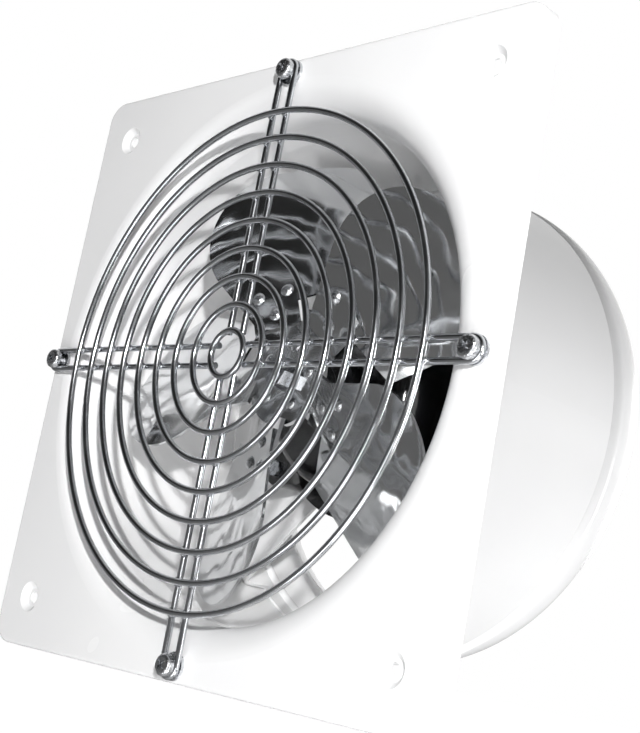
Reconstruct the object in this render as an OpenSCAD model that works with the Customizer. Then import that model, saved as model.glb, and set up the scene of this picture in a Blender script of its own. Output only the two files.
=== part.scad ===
// Wall exhaust fan: square plate with a pressed bell-mouth, round duct sleeve,
// wire guard, five riveted blades and an enclosed motor on a cross bracket.
// Millimetres. X is right, Y runs into the wall along the duct, Z is up.
// The origin is the centre of the four wall holes, on the floor of their dimples.
// A depth is a distance behind the plate's front face.

/* [Wall plate] */
// Side of the square plate
plate_w = 312; // [304:1:330]
// Radius of the plate's corners
corner_r = 12; // [8:1:14]
// Depth of the folded edge, from the front face to its rear rim
edge_l = 10; // [9:1:14]
// Outer radius of the fold at the plate's edge
fold_r = 2.5; // [2:0.5:4]
// Thickness of the sheet steel of plate, sleeve and rim
sheet_t = 1.2; // [1:0.1:1.5]
// Distance between neighbouring wall holes
hole_pitch = 260; // [256:1:268]
// Diameter of the wall holes
hole_d = 6; // [5:0.5:7]
// Diameter of the dimple round each wall hole
dimple_d = 16; // [14:1:18]
// Depth of each dimple
dimple_l = 3; // [2:0.5:4]

/* [Duct] */
// Inner diameter of the throat
throat_d = 254; // [250:1:258]
// Radius of the bell-mouth, seen from the air side
mouth_r = 18; // [15:1:20]
// Depth of the throat's rear end
throat_l = 34; // [30:1:40]
// Depth of the sleeve's rear end
duct_l = 128; // [126:1:134]
// Radius of the rolled lip on the rim
lip_r = 10; // [8:0.5:11]
// Length of the rim's straight band behind the sleeve
rim_band = 19; // [16:1:22]
// Length of the rim's spigot inside the sleeve
spigot_l = 12; // [8:1:16]

/* [Guard] */
// Diameter of the guard's wire
wire_d = 3.2; // [2.8:0.1:3.4]
// Diameter of the outermost ring, centre of wire to centre of wire
guard_d = 248.6; // [244:0.2:252]
// Distance from one ring to the next
ring_pitch = 14.25; // [13.5:0.25:14.5]
// Number of large rings
ring_count = 8; // [6:1:8]
// Diameter of the small centre ring
centre_ring_d = 23; // [20:1:25]
// Distance between the two wires of an arm
arm_gap = 10; // [9:0.5:11]
// Distance of the guard screws outside the bell-mouth's edge
screw_out = 3; // [2.8:0.2:4]
// Thickness of the spacers under the arms
spacer_t = 1.7; // [1.4:0.1:2.4]
// Thread diameter of the guard screws
screw_d = 5; // [4:0.5:5]
// Diameter of their pan heads
head_d = 10.6; // [10:0.2:11.4]
// Height of their pan heads
head_h = 3.6; // [3:0.2:4.2]

/* [Impeller] */
// Number of blades
blade_count = 5; // [3:1:5]
// Angle of the first blade, seen from the front, anticlockwise from the right
blade_start = 43; // [0:1:72]
// Diameter over the blade tips
impeller_d = 240; // [232:1:242]
// Depth of the blades' middle line
blade_depth = 32; // [31:1:34]
// Pitch of the blades against the plane of rotation
blade_pitch = 23; // [20:1:26]
// Angle of a blade's leading side against its middle line
lead_flare = 27.4; // [25:0.2:29]
// Distance of that side's line from the middle line at the fan's axis
lead_back = 4.6; // [3:0.2:6]
// Angle of a blade's trailing side against its middle line
trail_flare = 20.4; // [18:0.2:22]
// Distance of that side's line from the middle line at the fan's axis
trail_w = 27; // [24:1:28]
// Distance of the trailing side's inner corner from the fan's axis, along the blade
heel_u = 40; // [38:1:44]
// Thickness of the blade sheet
blade_t = 1.5; // [1:0.1:2]
// Radius of the blades' curved sheet
camber_r = 330; // [250:10:400]
// Radius of the leading corner of a blade
lead_r = 38; // [32:1:42]
// Radius of the trailing corner of a blade
trail_r = 15; // [10:1:20]
// Diameter of the hub disc
hub_d = 52; // [48:1:54]
// Thickness of the hub disc
hub_t = 3; // [2:0.5:4]
// Thickness of the hub's five tabs
tab_t = 2; // [1.5:0.5:3]
// Width of the tabs
tab_w = 26; // [22:1:27]
// Radius at which the tabs end
tab_end = 57; // [54:1:62]
// Diameter of all rivets
rivet_d = 4; // [3:0.5:4.5]
// Diameter of the hub's boss
boss_d = 24; // [22:1:26]
// Length of the boss behind the hub disc
boss_l = 24; // [20:1:25]

/* [Motor] */
// Diameter of the motor shaft
shaft_d = 10; // [9:0.5:10.5]
// Depth of the motor's front wall
motor_depth = 70; // [69:1:73]
// Outer diameter of the front shell
shell_d = 96; // [92:1:100]
// Length of the front shell
front_shell_l = 28; // [26:1:32]
// Length of the rear shell
rear_shell_l = 30; // [29:1:34]
// Wall of the two shells' end faces and of the rear shell
shell_t = 2.5; // [2:0.5:3]
// Outer diameter of the stator core
stator_d = 86.8; // [84:0.2:88]
// Bore of the stator core
stator_bore = 50; // [46:1:52]
// Air gap between the stator and the rotor
air_gap = 0.4; // [0.3:0.1:0.6]
// Outer diameter of the ball bearings
bearing_d = 30; // [28:1:32]
// Width of the ball bearings
bearing_w = 9; // [8:0.5:10]
// Distance of the motor bolts from the fan's axis
bolt_ring_r = 57; // [56:0.5:58]
// Thread diameter of the motor bolts
bolt_d = 5; // [4:0.5:5]

/* [Motor bracket] */
// Width of the bracket's arms
bracket_w = 38; // [30:1:44]
// Thickness of the bracket sheet
bracket_t = 2; // [1.5:0.5:3]
// Length of the feet along the duct
foot_l = 25; // [18:1:28]

/* [Terminal box] */
// Width of the box across the motor
box_w = 36; // [34:1:44]
// Length of the box along the motor
box_l = 21; // [20:0.5:22]
// Height of the box's rim above the motor's axis
box_top = 64; // [62:1:68]
// Wall of the box
box_t = 2; // [1.5:0.5:2.5]

/* [Hidden] */
$fn = 96;
big_rings = [for (k = [1:ring_count]) str("guard_ring_", k)];
blades = [for (k = [1:blade_count]) str("blade_", k)];
arm_names = ["right", "top", "left", "bottom"];
arms = [for (side = arm_names) str("guard_arm_", side)];

// Clearance of fitted cylinders, on the radius
fit = 0.03;
// Gap left where round or curved pieces are clamped or welded together
seat_gap = 0.05;
// Clearance of screws and bolts in their holes, on the radius
screw_fit = 0.1;

// Bell-mouth, sleeve and rim radii, from the air outwards
throat_r = throat_d / 2;
mouth_edge_r = throat_r + mouth_r;
sleeve_r = throat_r + sheet_t + seat_gap;
sleeve_out_r = sleeve_r + sheet_t;
spigot_r = sleeve_r - seat_gap - sheet_t;
lip_centre_r = spigot_r + sheet_t - lip_r;

// Guard: the arms lie on the spacers and the rings lie on the arms
arm_depth = -(spacer_t + seat_gap + wire_d / 2);
ring_depth = arm_depth - wire_d - seat_gap;
centre_ring_r = centre_ring_d / 2;
screw_r = mouth_edge_r + screw_out;
head_depth = arm_depth - wire_d / 2 - seat_gap;
screw_nut_h = 4;
screw_past_nut = 1.5;

// Blade blank, flat: u runs outwards and w towards the leading edge
impeller_r = impeller_d / 2;
tip_r = impeller_r / pow(cos(blade_pitch), 2);
tip_back = tip_r - impeller_r;
blade_root = hub_d / 2 + 1;
rivet_r = rivet_d / 2;
first_rivet_u = blade_root + 8;
outer_rivet_u = first_rivet_u + 12;
outer_rivet_w = 8;
rivet_spots = [[first_rivet_u, 0], [outer_rivet_u, -outer_rivet_w], [outer_rivet_u, outer_rivet_w]];
rivet_head_h = 1.6;
rivet_drill_l = 15;

// Hub and shaft front end
hub_depth = blade_depth + blade_t;
hub_rear = hub_depth + hub_t;
boss_flange_w = 7;
boss_flange_r = boss_d / 2 + boss_flange_w;
boss_flange_t = 3;
hub_rivet_out = 3.6;
hub_rivet_r = boss_d / 2 + hub_rivet_out;
shaft_r = shaft_d / 2;
stub_r = shaft_r - 1;
washer_t = 1.6;
shaft_nut_h = 6.5;
shaft_nut_flats = 13;

// Motor chain of depths, front to rear
shell_r = shell_d / 2;
nose_l = 6.5;
pocket_r = bearing_d / 2 + fit;
housing_r = pocket_r + 3;
front_bearing_depth = motor_depth - nose_l + shell_t + seat_gap;
bracket_depth = motor_depth + front_shell_l;
motor_rear = bracket_depth + rear_shell_l;
rear_shell_r = stator_d / 2 + seat_gap + shell_t;
rear_bearing_depth = motor_rear - shell_t - 1 - bearing_w;
stator_r = stator_d / 2;
stator_depth = motor_depth + 10;
stator_l = 32;
rotor_r = stator_bore / 2 - air_gap;
rotor_depth = stator_depth + 2;
rotor_l = stator_l - 4;
cage_h = 3;
ear_r = 9;
front_ear_t = 21;
flange_r = bolt_ring_r + 5;
flange_t = 3;
rear_ear_t = 3;
bolt_head_h = 3.5;
bolt_nut_h = 4;
bolt_flats = 8;
slots = 12;
ball_r = 2.38;
ball_count = 8;
pitch_r = (shaft_r + bearing_d / 2) / 2;

// Bracket
foot_r = throat_r - seat_gap;
foot_bend_r = bracket_t * 2;
bracket_ring_r = flange_r;

// Terminal box, over the rear shell
box_depth = bracket_depth + 6.5;
box_floor = rear_shell_r + 1.95;
post_r = 2.4;
lid_t = 2;
gland_r = 5;
gland_z = (box_floor + box_top) / 2;
locknut_t = 2.4;

// Metals, paints and plastics, as they look
white_paint = "white";
black_paint = [0.08, 0.08, 0.09];
bright_wire = "silver";
polished_metal = "gainsboro";
zinc_plate = "lightslategray";

// A depth behind the front face as a place on Y
function y_at(depth) = depth - dimple_l;

// Angle from one of the four sides to the next
quarter = 90;

// Turns children about the fan's axis, anticlockwise seen from the front
module turned(angle) {
    rotate([0, -angle, 0]) children();
}

// Revolves a section of (radius, depth) about the fan's axis
module revolved() {
    translate([0, y_at(0), 0])
        rotate([-90, 0, 0])
            rotate_extrude()
                children();
}

// A flat sheet across the axis, drawn as seen from the front
module slab(depth, t) {
    translate([0, y_at(depth + t), 0])
        rotate([90, 0, 0])
            linear_extrude(t)
                children();
}

// A round bar along the axis
module bar(r, depth, l) {
    translate([0, y_at(depth), 0])
        rotate([-90, 0, 0])
            cylinder(r = r, h = l);
}

// Quarter of a bent sheet's section, swept anticlockwise from the start angle
module bend(r, t, start) {
    rotate(start)
        intersection() {
            difference() {
                circle(r);
                circle(r - t);
            }
            square(r);
        }
}

// Section of the plate's folded edge: (distance outwards, depth)
module edge_section() {
    square([corner_r - fold_r, sheet_t]);
    translate([corner_r - fold_r, fold_r])
        bend(fold_r, sheet_t, 270);
    translate([corner_r - sheet_t, fold_r])
        square([sheet_t, edge_l - fold_r]);
}

module plate_blank() {
    inner_w = plate_w - 2 * corner_r;
    slab(0, sheet_t)
        square(inner_w, center = true);
    for (k = [0:3])
        turned(quarter * k) {
            translate([inner_w / 2, y_at(0), -inner_w / 2])
                linear_extrude(inner_w)
                    edge_section();
            translate([inner_w / 2, y_at(0), -inner_w / 2])
                rotate([-90, 0, 0])
                    rotate_extrude(angle = 90)
                        edge_section();
        }
}

// The sheet between the air side and the wall side of the bell-mouth and throat
module mouth() {
    revolved() {
        translate([mouth_edge_r, mouth_r])
            bend(mouth_r, sheet_t, 180);
        translate([throat_r, mouth_r])
            square([sheet_t, throat_l - mouth_r]);
    }
}

// Stands children at the four wall holes
module at_wall_holes() {
    for (x = [-1, 1], z = [-1, 1])
        translate([x * hole_pitch / 2, 0, z * hole_pitch / 2])
            children();
}

// One dished dimple with its hole
module dimple() {
    dish_r = dimple_d / 2;
    floor_r = dish_r - dimple_l;
    revolved()
        polygon([
            [hole_d / 2, dimple_l],
            [floor_r, dimple_l],
            [dish_r, 0],
            [dish_r, sheet_t],
            [floor_r, dimple_l + sheet_t],
            [hole_d / 2, dimple_l + sheet_t]
        ]);
}

module wall_plate() {
    color(white_paint) {
        difference() {
            plate_blank();
            bar(mouth_edge_r, -1, sheet_t + 2);
            at_wall_holes()
                bar(dimple_d / 2, -1, sheet_t + 2);
            for (k = [0:3])
                turned(quarter * k)
                    translate([screw_r, 0, 0])
                        bar(screw_d / 2 + screw_fit, -1, sheet_t + 2);
        }
        mouth();
        at_wall_holes()
            dimple();
    }
}

module duct_sleeve() {
    front = mouth_r + 1;
    color(white_paint)
        revolved()
            translate([sleeve_r, front])
                square([sheet_t, duct_l - front]);
}

// Rim that sits inside the sleeve's rear end and has its lip rolled inwards
module duct_rim() {
    color(white_paint)
        revolved() {
            translate([spigot_r, duct_l - spigot_l])
                square([sheet_t, spigot_l + rim_band]);
            translate([lip_centre_r, duct_l + rim_band]) {
                bend(lip_r, sheet_t, 0);
                bend(lip_r, sheet_t, 90);
            }
        }
}

// A closed wire ring on the guard's front
module wire_ring(r) {
    color(bright_wire)
        revolved()
            translate([r, ring_depth])
                circle(d = wire_d);
}

module guard_ring(k) {
    wire_ring(guard_d / 2 - (k - 1) * ring_pitch);
}

module guard_ring_centre() {
    wire_ring(centre_ring_r);
}

// A hairpin of wire from behind the centre ring out and round its screw
module guard_arm(angle) {
    half = arm_gap / 2;
    start = sqrt(pow(centre_ring_r, 2) - pow(half, 2));
    color(bright_wire)
        turned(angle)
            translate([0, y_at(arm_depth), 0]) {
                for (side = [-1, 1])
                    translate([start, 0, side * half])
                        rotate([0, 90, 0])
                            cylinder(d = wire_d, h = screw_r - start);
                translate([screw_r, 0, 0])
                    rotate([90, 0, 0])
                        rotate([0, 0, -90])
                            rotate_extrude(angle = 180)
                                translate([half, 0])
                                    circle(d = wire_d);
            }
}

// Stands children at the four guard screws
module at_guard_screws() {
    for (k = [0:3])
        turned(quarter * k)
            translate([screw_r, 0, 0])
                children();
}

// Pan-head screw with a cross recess; the underside of its head lies at the depth
module pan_screw(depth, thread_r, l, r, h) {
    round_r = h * 0.55;
    recess_w = r * 0.24;
    recess_l = r * 1.1;
    recess_depth = h * 0.6;
    difference() {
        revolved() {
            translate([0, depth])
                square([thread_r, l]);
            translate([0, depth - h])
                square([r - round_r, h]);
            translate([0, depth - h + round_r])
                square([r, h - round_r]);
            translate([r - round_r, depth - h + round_r])
                circle(round_r);
        }
        for (a = [45, 135])
            turned(a)
                translate([-recess_l / 2, y_at(depth - h) - 1, -recess_w / 2])
                    cube([recess_l, recess_depth + 1, recess_w]);
    }
}

// Hexagon nut along the axis
module hex_nut(depth, h, flats, thread_r) {
    slab(depth, h)
        difference() {
            circle(r = flats / 2 / cos(30), $fn = 6);
            circle(thread_r + fit);
        }
}

// Flat washer along the axis
module flat_ring(depth, t, r_out, r_in) {
    slab(depth, t)
        difference() {
            circle(r_out);
            circle(r_in);
        }
}

module guard_screws() {
    shank_l = sheet_t + screw_nut_h + screw_past_nut - head_depth;
    color(bright_wire)
        at_guard_screws()
            pan_screw(head_depth, screw_d / 2, shank_l, head_d / 2, head_h);
}

module guard_spacers() {
    color(bright_wire)
        at_guard_screws()
            flat_ring(-spacer_t, spacer_t, (arm_gap + wire_d) / 2, screw_d / 2 + screw_fit);
}

module guard_nuts() {
    color(zinc_plate)
        at_guard_screws()
            hex_nut(sheet_t, screw_nut_h, 8, screw_d / 2);
}

// Sheet section of the bracket from its centre hole to the end of a foot
module bracket_section() {
    hole_r = rear_shell_r + 0.3;
    translate([hole_r, bracket_depth])
        square([foot_r - foot_bend_r - hole_r, bracket_t]);
    translate([foot_r - foot_bend_r, bracket_depth + foot_bend_r])
        bend(foot_bend_r, bracket_t, 270);
    translate([foot_r - bracket_t, bracket_depth + foot_bend_r])
        square([bracket_t, foot_l - foot_bend_r]);
}

module motor_bracket() {
    color(white_paint)
        difference() {
            intersection() {
                revolved()
                    bracket_section();
                union() {
                    bar(bracket_ring_r, bracket_depth - 1, foot_l + 2);
                    for (k = [0:1])
                        turned(45 + quarter * k)
                            translate([-throat_r, y_at(bracket_depth - 1), -bracket_w / 2])
                                cube([throat_d, foot_l + 2, bracket_w]);
                }
            }
            at_motor_bolts()
                bar(bolt_d / 2 + screw_fit, bracket_depth - 1, bracket_t + 2);
        }
}

// Stands children at the four motor bolts, on the bracket's diagonals
module at_motor_bolts() {
    for (k = [0:3])
        turned(45 + quarter * k)
            translate([bolt_ring_r, 0, 0])
                children();
}

// Four lugs that join a shell to its bolts
module ears(depth, t, from_r) {
    for (k = [0:3])
        turned(45 + quarter * k)
            slab(depth, t) {
                translate([bolt_ring_r, 0])
                    circle(ear_r);
                translate([from_r, -ear_r])
                    square([bolt_ring_r - from_r, 2 * ear_r]);
            }
}

module bolt_ways(depth, t) {
    at_motor_bolts()
        bar(bolt_d / 2 + screw_fit, depth - 1, t + 2);
}

// Cup with a nose for the bearing, a flange against the bracket and tall lugs
module motor_front_shell() {
    round_r = 6;
    nose_depth = motor_depth - nose_l;
    hollow_r = stator_r + seat_gap;
    color(black_paint)
        difference() {
            union() {
                revolved() {
                    difference() {
                        union() {
                            translate([housing_r - 1, motor_depth])
                                square([shell_r - round_r - housing_r + 1, front_shell_l]);
                            translate([shell_r - round_r, motor_depth + round_r])
                                square([round_r, front_shell_l - round_r]);
                            translate([shell_r - round_r, motor_depth + round_r])
                                circle(round_r);
                        }
                        translate([0, motor_depth + shell_t])
                            square([hollow_r, front_shell_l]);
                    }
                    translate([shell_r - 2, bracket_depth - flange_t])
                        square([flange_r - shell_r + 2, flange_t]);
                    translate([pocket_r, nose_depth])
                        square([housing_r - pocket_r, nose_l + shell_t + 2]);
                    translate([shaft_r + 2, nose_depth])
                        square([pocket_r - shaft_r - 2, shell_t]);
                }
                ears(bracket_depth - front_ear_t, front_ear_t - 1, hollow_r + 1);
            }
            bolt_ways(bracket_depth - front_ear_t, front_ear_t);
        }
}

module motor_rear_shell() {
    round_r = 5;
    hollow_r = rear_shell_r - shell_t;
    color(black_paint)
        difference() {
            union() {
                revolved() {
                    difference() {
                        union() {
                            translate([0, bracket_depth])
                                square([rear_shell_r, rear_shell_l - round_r]);
                            translate([0, bracket_depth])
                                square([rear_shell_r - round_r, rear_shell_l]);
                            translate([rear_shell_r - round_r, motor_rear - round_r])
                                circle(round_r);
                        }
                        translate([-1, bracket_depth - 1])
                            square([hollow_r + 1, rear_shell_l - shell_t + 1]);
                    }
                    translate([pocket_r, rear_bearing_depth - 1])
                        square([housing_r - pocket_r, motor_rear - rear_bearing_depth]);
                }
                ears(bracket_depth + bracket_t, rear_ear_t, hollow_r + 1);
            }
            bolt_ways(bracket_depth + bracket_t, rear_ear_t);
        }
}

// Slot outline of the stator, for the core and, drawn in, for its windings
module slot_shape(inset) {
    slot_in = stator_bore / 2 + 2;
    slot_out = stator_r - 5;
    for (k = [0:slots - 1])
        rotate(k * 360 / slots)
            translate([slot_in + inset, -slot_w() / 2 + inset])
                square([slot_out - slot_in - 2 * inset, slot_w() - 2 * inset]);
}

function slot_w() = stator_bore * PI / slots * 0.55;

module stator_core() {
    color("dimgray")
        slab(stator_depth, stator_l)
            difference() {
                circle(stator_r);
                circle(stator_bore / 2);
                slot_shape(0);
                for (k = [0:slots - 1])
                    rotate(k * 360 / slots)
                        translate([0, -1])
                            square([stator_bore / 2 + 3, 2]);
            }
}

// Copper in the slots, with a bundle of end turns at each face
module stator_windings() {
    bundle_w = stator_r - stator_bore / 2 - 9;
    bundle_l = 4;
    color("chocolate") {
        slab(stator_depth - 1, stator_l + 2)
            slot_shape(0.3);
        for (depth = [stator_depth - 1 - bundle_l, stator_depth + stator_l + 1])
            revolved()
                translate([stator_bore / 2 + 3, depth])
                    square([bundle_w, bundle_l]);
    }
}

// Half of a ball bearing's races: section of a ring with the balls' groove
module race(depth, r_in, r_out) {
    color(polished_metal)
        revolved()
            difference() {
                translate([r_in, depth])
                    square([r_out - r_in, bearing_w]);
                translate([pitch_r, depth + bearing_w / 2])
                    circle(ball_r + seat_gap);
            }
}

module bearing_outer(depth) {
    race(depth, pitch_r + ball_r * 0.65, bearing_d / 2);
}

module bearing_inner(depth) {
    race(depth, shaft_r + fit, pitch_r - ball_r * 0.65);
}

module bearing_balls(depth) {
    color(polished_metal)
        for (k = [0:ball_count - 1])
            turned(k * 360 / ball_count)
                translate([pitch_r, y_at(depth + bearing_w / 2), 0])
                    sphere(ball_r, $fn = 32);
}

module wave_washer() {
    color(polished_metal)
        flat_ring(rear_bearing_depth + bearing_w + 0.1, 0.8, pocket_r - 0.2, pocket_r - 4);
}

module motor_bolts() {
    head = bracket_depth - front_ear_t - bolt_head_h;
    shank_l = bolt_head_h + front_ear_t + bracket_t + rear_ear_t + bolt_nut_h + 2;
    color(bright_wire)
        at_motor_bolts() {
            slab(head, bolt_head_h)
                circle(r = bolt_flats / 2 / cos(30), $fn = 6);
            bar(bolt_d / 2, head, shank_l);
        }
}

module motor_nuts() {
    color(zinc_plate)
        at_motor_bolts()
            hex_nut(bracket_depth + bracket_t + rear_ear_t, bolt_nut_h, bolt_flats, bolt_d / 2);
}

// Block in the terminal box's own place: width across, length along the duct, height
module box_block(w, depth, l, low, high) {
    translate([-w / 2, y_at(depth), low])
        cube([w, l, high - low]);
}

// Stands children at the two posts that take the lid's screws, pointing up
module at_lid_posts() {
    for (depth = [box_depth + box_t + 1.7, box_depth + box_l - box_t - 1.7])
        translate([0, y_at(depth), 0])
            children();
}

// Turns children from the fan's axis to a line across it, at the gland's place
module at_gland() {
    translate([-box_w / 2, y_at(box_depth + box_l / 2), gland_z])
        rotate([0, 90, 0])
            children();
}

module terminal_box() {
    color(black_paint)
        difference() {
            union() {
                difference() {
                    box_block(box_w, box_depth, box_l, rear_shell_r - 6, box_top);
                    box_block(
                        box_w - 2 * box_t, box_depth + box_t, box_l - 2 * box_t,
                        box_floor, box_top + 1
                    );
                }
                at_lid_posts()
                    translate([0, 0, box_floor - 1])
                        cylinder(r = post_r, h = box_top - box_floor + 1);
            }
            bar(rear_shell_r + seat_gap, box_depth - 1, box_l + 2);
            at_lid_posts()
                translate([0, 0, box_floor + 2])
                    cylinder(r = 1.3, h = box_top);
            at_gland()
                translate([0, 0, -1])
                    cylinder(r = gland_r + fit, h = box_t + 2);
        }
}

module terminal_lid() {
    color(black_paint)
        difference() {
            box_block(box_w, box_depth, box_l, box_top, box_top + lid_t);
            at_lid_posts()
                translate([0, 0, box_top - 1])
                    cylinder(r = 1.6, h = lid_t + 2);
        }
}

module terminal_lid_screws() {
    color(zinc_plate)
        at_lid_posts() {
            translate([0, 0, box_top + lid_t])
                cylinder(r = 2.6, h = 1.8);
            translate([0, 0, box_top - 8])
                cylinder(r = 1.3 - fit, h = 8 + lid_t + 1);
        }
}

module terminal_block() {
    block_w = box_w - 12;
    color("ivory")
        difference() {
            box_block(block_w, box_depth + box_l / 2 - 2.6, 5.2, box_floor, box_floor + 9);
            for (k = [-1:1])
                translate([k * block_w / 3, y_at(box_depth + box_l / 2), box_floor + 3])
                    cylinder(r = 1.5, h = 10);
        }
}

// Screwed gland through the side wall of the box, with no cord in it
module cable_gland() {
    color(black_paint)
        at_gland()
            difference() {
                union() {
                    translate([0, 0, -4])
                        cylinder(r = 7.5, h = 4, $fn = 6);
                    translate([0, 0, -11])
                        cylinder(r = 6.2, h = 7.5);
                    translate([0, 0, -1])
                        cylinder(r = gland_r, h = box_t + locknut_t + 1.5);
                }
                translate([0, 0, -12])
                    cylinder(r = 3, h = 20);
            }
}

module gland_locknut() {
    color(black_paint)
        at_gland()
            translate([0, 0, box_t])
                difference() {
                    cylinder(r = 6.8, h = locknut_t, $fn = 6);
                    translate([0, 0, -1])
                        cylinder(r = gland_r + fit, h = locknut_t + 2);
                }
}

// Places children at blade k, with X outwards, Z to the leading edge and the face to -Y
module at_blade(k) {
    turned(blade_start + (k - 1) * 360 / blade_count)
        translate([0, y_at(blade_depth), 0])
            rotate([blade_pitch, 0, 0])
                children();
}

// Curved sheet of the blades and tabs: starts `back` behind the blade's face
module camber_shell(back, t) {
    inner_u = 10;
    translate([inner_u, camber_r, 0])
        rotate([0, 90, 0])
            difference() {
                cylinder(r = camber_r - back, h = impeller_r, $fn = 128);
                translate([0, 0, -1])
                    cylinder(r = camber_r - back - t, h = impeller_r + 2, $fn = 128);
            }
}

// Pushes a flat outline of (u, w) through the curved sheet
module through_sheet() {
    sheet_reach = 40;
    rotate([90, 0, 0])
        translate([0, 0, -sheet_reach])
            linear_extrude(sheet_reach + 2)
                children();
}

// Centre of a corner of radius r between the tip and a side that crosses w0 at the fan's axis
function corner_centre(w0, slope, r) =
    let (along = [cos(slope), sin(slope)])
    let (start = [tip_back, w0] + r * [sin(slope), -cos(slope)])
    let (b = start * along)
    start - [tip_back, 0] + (sqrt(b * b - start * start + pow(tip_r - r, 2)) - b) * along;

// Angle at which such a corner runs into the tip
function tip_angle(centre) = atan2(centre[1], centre[0] + tip_back);

// Points on an arc, its two ends left out where `open` is 1
function arc(centre, r, from, to, steps, open = 0) =
    [for (i = [open:steps - open]) let (a = from + (to - from) * i / steps) centre + r * [cos(a), sin(a)]];

// Flat outline of a blade: narrow root, wide trailing half, round tip and two round corners
module blade_outline() {
    lead_centre = corner_centre(-lead_back, lead_flare, lead_r);
    mirrored = corner_centre(trail_w, trail_flare, trail_r);
    trail_centre = [mirrored[0], -mirrored[1]];
    polygon(concat(
        [
            [blade_root, -tab_w / 2],
            [heel_u, -tab_w / 2],
            [heel_u, -trail_w - heel_u * tan(trail_flare)]
        ],
        arc(trail_centre, trail_r, -90 - trail_flare, tip_angle(trail_centre), 12),
        arc([-tip_back, 0], tip_r, tip_angle(trail_centre), tip_angle(lead_centre), 8, 1),
        arc(lead_centre, lead_r, tip_angle(lead_centre), 90 + lead_flare, 16),
        [[blade_root, blade_root * tan(lead_flare) - lead_back]]
    ));
}

// Turns children so that Y stands square to the blade's sheet at a rivet
module at_rivet(spot) {
    translate([0, camber_r, 0])
        rotate([-asin(spot[1] / camber_r), 0, 0])
            translate([spot[0], -camber_r, 0])
                rotate([-90, 0, 0])
                    children();
}

module rivet_holes() {
    for (spot = rivet_spots)
        at_rivet(spot)
            translate([0, 0, -rivet_drill_l / 3])
                cylinder(r = rivet_r + fit, h = rivet_drill_l);
}

module blade(k) {
    color(polished_metal)
        at_blade(k)
            difference() {
                intersection() {
                    camber_shell(0, blade_t);
                    through_sheet()
                        blade_outline();
                }
                rivet_holes();
            }
}

// Shank between a domed head in front and a flat head behind, from z = 0 rearwards
module rivet(grip) {
    head_r = rivet_r * 1.75;
    translate([0, 0, -seat_gap * 2])
        rotate([180, 0, 0])
            intersection() {
                cylinder(r = head_r, h = rivet_head_h);
                dome_r = (pow(head_r, 2) + pow(rivet_head_h, 2)) / (2 * rivet_head_h);
                translate([0, 0, rivet_head_h - dome_r])
                    sphere(dome_r);
            }
    translate([0, 0, -seat_gap * 2])
        cylinder(r = rivet_r, h = grip + seat_gap * 4);
    translate([0, 0, grip + seat_gap * 2])
        cylinder(r = head_r * 0.9, h = 1.2);
}

module blade_rivets() {
    color(polished_metal)
        for (k = [1:blade_count])
            at_blade(k)
                for (spot = rivet_spots)
                    at_rivet(spot)
                        rivet(blade_t + seat_gap + tab_t);
}

// Hub disc with one curved tab behind each blade
module hub_spider() {
    tab_start = hub_d / 2 - 5;
    color(polished_metal)
        difference() {
            union() {
                bar(hub_d / 2, hub_depth, hub_t);
                for (k = [1:blade_count])
                    at_blade(k)
                        difference() {
                            intersection() {
                                camber_shell(blade_t + seat_gap, tab_t);
                                through_sheet()
                                    tab_outline(tab_start);
                            }
                            rivet_holes();
                        }
            }
            bar(shaft_r + fit, hub_depth - 1, hub_t + 2);
            at_hub_rivets()
                bar(rivet_r + fit, hub_depth - 1, hub_t + 2);
        }
}

// Tab with a round end
module tab_outline(start) {
    translate([start, -tab_w / 2])
        square([tab_end - tab_w / 2 - start, tab_w]);
    translate([tab_end - tab_w / 2, 0])
        circle(tab_w / 2);
}

// Stands children at the rivets of the boss, between the tabs
module at_hub_rivets() {
    for (k = [1:blade_count])
        turned(blade_start + (k - 0.5) * 360 / blade_count)
            translate([hub_rivet_r, 0, 0])
                children();
}

module set_screw_way(r, from_r, to_r) {
    turned(blade_start + 180 / blade_count)
        translate([from_r, y_at(hub_rear + boss_l * 0.65), 0])
            rotate([0, 90, 0])
                cylinder(r = r, h = to_r - from_r);
}

module hub_boss() {
    color(polished_metal)
        difference() {
            union() {
                bar(boss_flange_r, hub_rear, boss_flange_t);
                bar(boss_d / 2, hub_rear, boss_l);
            }
            bar(shaft_r + fit, hub_rear - 1, boss_l + 2);
            at_hub_rivets()
                bar(rivet_r + fit, hub_rear - 1, boss_flange_t + 2);
            set_screw_way(2.5 + fit, shaft_r, boss_d);
        }
}

module hub_rivets() {
    color(polished_metal)
        at_hub_rivets()
            translate([0, y_at(hub_depth), 0])
                rotate([-90, 0, 0])
                    rivet(hub_t + boss_flange_t);
}

module set_screw() {
    socket_l = 2.5;
    color(zinc_plate)
        difference() {
            set_screw_way(2.5, shaft_r + seat_gap, boss_d / 2 - 0.5);
            turned(blade_start + 180 / blade_count)
                translate([boss_d / 2 - 0.5 - socket_l, y_at(hub_rear + boss_l * 0.65), 0])
                    rotate([0, 90, 0])
                        cylinder(r = 1.4, h = socket_l + 1, $fn = 6);
        }
}

module shaft_washer() {
    color(polished_metal)
        flat_ring(hub_depth - washer_t, washer_t, 8.5, stub_r + 0.1);
}

module shaft_nut() {
    color(polished_metal)
        hex_nut(hub_depth - washer_t - shaft_nut_h, shaft_nut_h, shaft_nut_flats, stub_r);
}

module motor_shaft() {
    stub_l = washer_t + shaft_nut_h + 1;
    shaft_rear = motor_rear - shell_t - 0.5;
    color(polished_metal) {
        bar(stub_r, hub_depth - stub_l, stub_l + 1);
        bar(shaft_r, hub_depth, shaft_rear - hub_depth);
    }
}

module rotor_core() {
    color("dimgray")
        flat_ring(rotor_depth, rotor_l, rotor_r, shaft_r + fit);
}

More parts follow.
